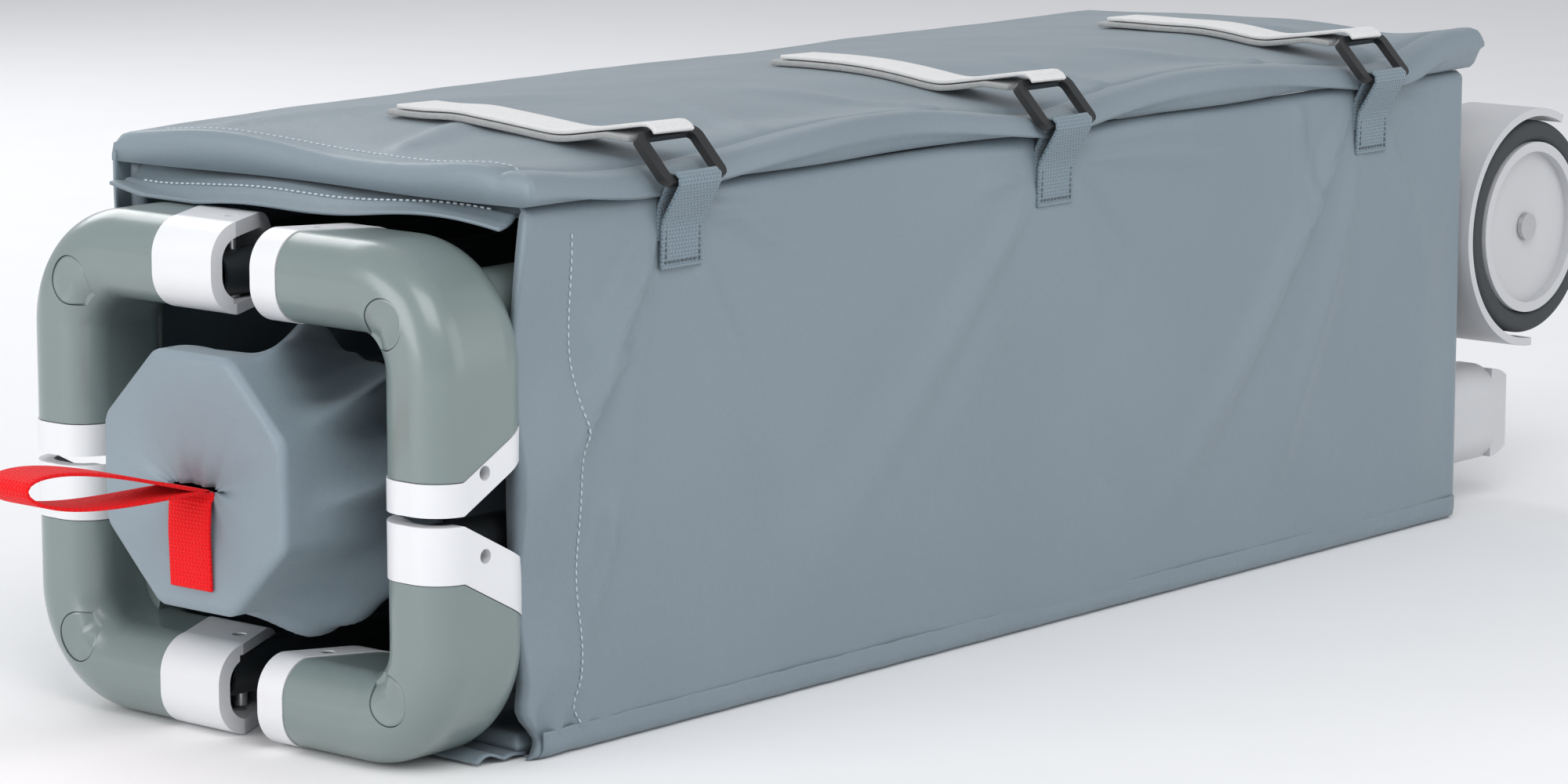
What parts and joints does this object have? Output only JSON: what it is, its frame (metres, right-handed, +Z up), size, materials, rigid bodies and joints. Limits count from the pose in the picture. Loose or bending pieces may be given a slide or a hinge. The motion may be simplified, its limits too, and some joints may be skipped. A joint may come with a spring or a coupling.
{
  "type": "playpen",
  "caption": "Folded travel playpen: a folding frame with corner casings, central hub, feet and wheels, wrapped in its own folded mattress with hook-and-loop straps.",
  "frame": {"origin": "centre of the rest face, the underside of the mattress bottom panel that the folded playpen lies on", "axes": "+X along the folded legs from the hub end to the wheel end, +Z up as it lies, -Y towards the side that carries the closure rings"},
  "size_m": [0.981, 0.26, 0.2559],
  "materials": {
    "wrap_fabric": "smooth coated polyester, soft sheen",
    "hub_cloth": "smooth coated polyester over the hub",
    "wall_cloth": "folded wall cloth",
    "board": "hardboard",
    "loop_tape": "brushed loop tape",
    "white_strap": "off-white hook-and-loop tape",
    "tab_webbing": "woven webbing",
    "ring_black": "black moulded acetal",
    "casing_green": "smooth gloss moulding",
    "collar_grey": "light grey moulding",
    "foot_grey": "light grey moulding, satin",
    "wheel_grey": "light grey moulding, satin",
    "dark_tube": "dark powder coat",
    "dark_plastic": "dark grey moulding",
    "steel": "zinc plated",
    "tyre": "soft dark tread",
    "red_webbing": "bright red woven webbing"
  },
  "bodies": {
    "frame": {"mattress_bottom": "wrap_fabric", "board_bottom": "board", "corner_upper_near": "casing_green", "corner_upper_far": "casing_green", "corner_lower_near": "casing_green", "corner_lower_far": "casing_green", "corner_plugs": "casing_green", "end_collar_upper_near": "collar_grey", "end_collar_upper_far": "collar_grey", "end_collar_lower_near": "collar_grey", "end_collar_lower_far": "collar_grey", "side_collar_upper_near": "collar_grey", "side_collar_upper_far": "collar_grey", "side_collar_lower_near": "collar_grey", "side_collar_lower_far": "collar_grey", "leg_upper_near": "dark_tube", "leg_upper_far": "dark_tube", "leg_lower_near": "dark_tube", "leg_lower_far": "dark_tube", "end_rail_upper_near": "dark_tube", "end_rail_upper_far": "dark_tube", "end_rail_lower_near": "dark_tube", "end_rail_lower_far": "dark_tube", "side_rail_upper_near": "dark_tube", "side_rail_upper_far": "dark_tube", "side_rail_lower_near": "dark_tube", "side_rail_lower_far": "dark_tube", "end_latch_upper": "dark_plastic", "end_latch_lower": "dark_plastic", "side_latch_near": "dark_plastic", "side_latch_far": "dark_plastic", "pivot_pins": "steel", "hub_cap": "hub_cloth", "hub_housing": "dark_plastic", "floor_arms": "dark_tube", "floor_cloth": "hub_cloth", "wall_cloth": "wall_cloth", "pull_tail": "red_webbing", "fender_near": "foot_grey", "fender_far": "foot_grey", "foot_near": "foot_grey", "foot_far": "foot_grey", "axles": "steel"},
    "back_panel": {"mattress_back": "wrap_fabric", "board_back": "board"},
    "flap": {"mattress_flap": "wrap_fabric", "board_flap": "board", "strap_bases": "loop_tape"},
    "front_panel": {"mattress_front": "wrap_fabric", "board_front": "board", "ring_tabs": "tab_webbing", "rings": "ring_black"},
    "strap_1": {"strap_tail_1": "white_strap"},
    "strap_2": {"strap_tail_2": "white_strap"},
    "strap_3": {"strap_tail_3": "white_strap"},
    "pull_loop": {"pull_strap": "red_webbing"},
    "wheel_near": {"wheel_near": "wheel_grey", "tyre_near": "tyre"},
    "wheel_far": {"wheel_far": "wheel_grey", "tyre_far": "tyre"}
  },
  "joints": [
    {"name": "back_open", "type": "hinge", "parent": "frame", "child": "back_panel", "pos_m": [0, 0.121, 0], "axis": [-1, 0, 0], "range_deg": [0, 90]},
    {"name": "flap_open", "type": "hinge", "parent": "back_panel", "child": "flap", "pos_m": [0, 0.121, 0.24], "axis": [-1, 0, 0], "range_deg": [0, 90]},
    {"name": "front_open", "type": "hinge", "parent": "frame", "child": "front_panel", "pos_m": [0, -0.121, 0], "axis": [1, 0, 0], "range_deg": [0, 90]},
    {"name": "strap_peel_1", "type": "hinge", "parent": "flap", "child": "strap_1", "pos_m": [-0.255, -0.115, 0.251], "axis": [1, 0, 0], "range_deg": [0, 150]},
    {"name": "strap_peel_2", "type": "hinge", "parent": "flap", "child": "strap_2", "pos_m": [0, -0.115, 0.251], "axis": [1, 0, 0], "range_deg": [0, 150]},
    {"name": "strap_peel_3", "type": "hinge", "parent": "flap", "child": "strap_3", "pos_m": [0.255, -0.115, 0.251], "axis": [1, 0, 0], "range_deg": [0, 150]},
    {"name": "pull_loop_swing", "type": "hinge", "parent": "frame", "child": "pull_loop", "pos_m": [-0.418, 0, 0.111], "axis": [0, 1, 0], "range_deg": [-60, 45]},
    {"name": "wheel_near_roll", "type": "hinge", "parent": "frame", "child": "wheel_near", "pos_m": [0.407, -0.111, 0.143], "axis": [0, 1, 0], "continuous": true},
    {"name": "wheel_far_roll", "type": "hinge", "parent": "frame", "child": "wheel_far", "pos_m": [0.407, 0.111, 0.143], "axis": [0, 1, 0], "continuous": true}
  ],
  "couplings": [
    {"joint": "flap_open", "follows": "back_open", "ratio": 1},
    {"joint": "front_open", "follows": "back_open", "ratio": 1}
  ]
}
